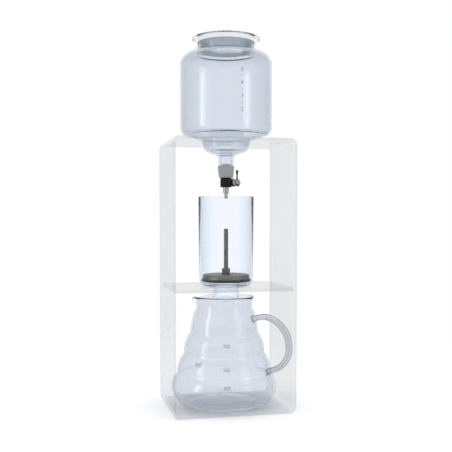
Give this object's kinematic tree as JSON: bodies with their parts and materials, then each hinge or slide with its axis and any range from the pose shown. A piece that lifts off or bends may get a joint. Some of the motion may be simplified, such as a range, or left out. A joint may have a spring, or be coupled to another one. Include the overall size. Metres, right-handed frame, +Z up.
{
  "type": "cold drip coffee tower",
  "caption": "Clear acrylic stand holding a lidded glass water reservoir with a drip valve, a glass coffee chamber with a strainer, and a glass server with a loop handle.",
  "frame": {"origin": "on the table, at the middle of the whole tower's footprint", "axes": "+Z up the tower, -Y out of the open front, +X towards the side the lever and the server's handle are on"},
  "size_m": [0.176, 0.152, 0.53],
  "materials": {
    "acrylic": "clear acrylic sheet, polished edges",
    "glass": "clear borosilicate glass",
    "silicone_grey": "matt translucent grey silicone",
    "rubber_black": "matt",
    "black_plastic": "satin black",
    "black_metal": "gloss black",
    "chrome": "polished",
    "steel": "brushed",
    "steel_mesh": "woven mesh, dull"
  },
  "bodies": {
    "stand": {"frame_loop": "acrylic", "middle_shelf": "acrylic"},
    "reservoir": {"reservoir_glass": "glass", "stem_stopper": "silicone_grey", "inlet_tube": "steel", "valve_body": "black_plastic", "plug_ring": "rubber_black", "packing_washer": "rubber_black", "gland_nut": "chrome", "outlet_nozzle": "chrome", "drip_tip": "chrome"},
    "lid": {"lid": "glass"},
    "lever": {"valve_plug": "steel", "lever_hub": "chrome", "lever_arm": "black_metal", "lever_screw": "chrome"},
    "chamber": {"chamber_glass": "glass"},
    "strainer": {"strainer_gasket": "rubber_black", "strainer_rim": "steel", "strainer_mesh": "steel_mesh", "strainer_rod": "steel", "strainer_nut": "steel", "strainer_lock_nut": "steel"},
    "server": {"server_glass": "glass", "server_handle": "glass"}
  },
  "joints": [
    {"name": "reservoir_lift", "type": "slide", "parent": "stand", "child": "reservoir", "axis": [0, 0, 1], "range_m": [0, 0.1]},
    {"name": "lid_lift", "type": "slide", "parent": "reservoir", "child": "lid", "axis": [0, 0, 1], "range_m": [0, 0.05]},
    {"name": "valve_lever", "type": "hinge", "parent": "reservoir", "child": "lever", "pos_m": [0.0164, 0, 0.3253], "axis": [1, 0, 0], "range_deg": [0, 90]},
    {"name": "chamber_lift", "type": "slide", "parent": "stand", "child": "chamber", "axis": [0, 0, 1], "range_m": [0, 0.025]},
    {"name": "strainer_lift", "type": "slide", "parent": "chamber", "child": "strainer", "axis": [0, 0, 1], "range_m": [0, 0.014]},
    {"name": "server_slide", "type": "slide", "parent": "stand", "child": "server", "axis": [0, 1, 0], "range_m": [-0.016, 0.016]}
  ]
}
